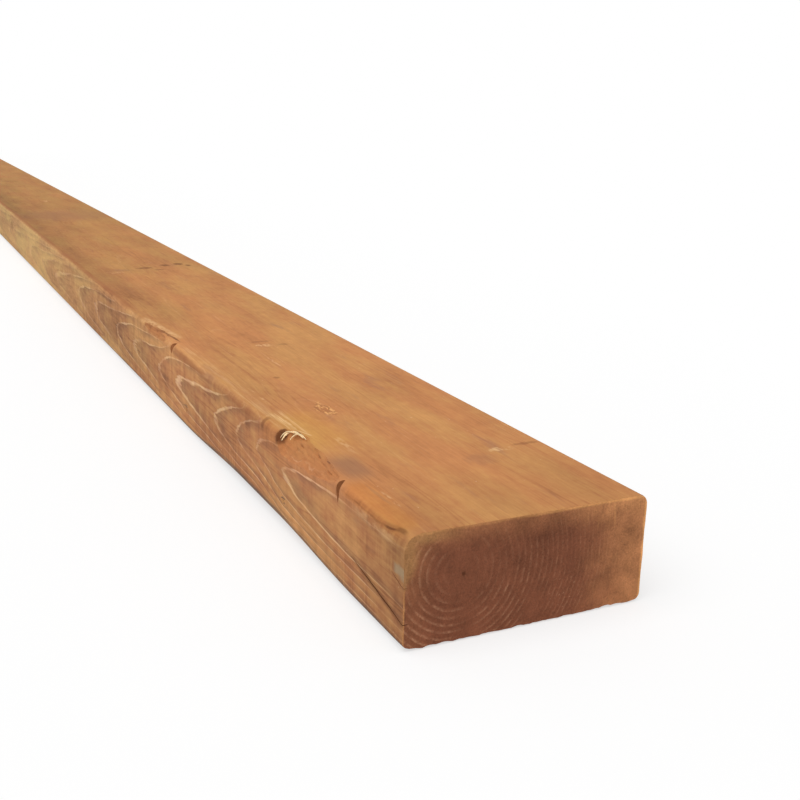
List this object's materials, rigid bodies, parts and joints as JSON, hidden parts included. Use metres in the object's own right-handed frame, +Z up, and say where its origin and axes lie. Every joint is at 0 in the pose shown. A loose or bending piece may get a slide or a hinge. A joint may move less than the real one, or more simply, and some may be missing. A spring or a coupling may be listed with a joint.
{
  "type": "treated two-by-four",
  "caption": "Straight board of brown treated softwood with a flat rectangular section, eased long edges and square-cut ends, used as framing and decking stock.",
  "frame": {"origin": "middle of the lower wide face, on the floor that the board lies on", "axes": "+X along the board towards the end with the drying check, +Y across the width away from the torn arris, +Z up through the thickness"},
  "size_m": [2.4384, 0.089, 0.038],
  "materials": {
    "treated_softwood": "planed softwood stained brown by preservative, matt, with sawn end grain"
  },
  "bodies": {
    "root": {"two_by_four": "treated_softwood"}
  },
  "joints": []
}
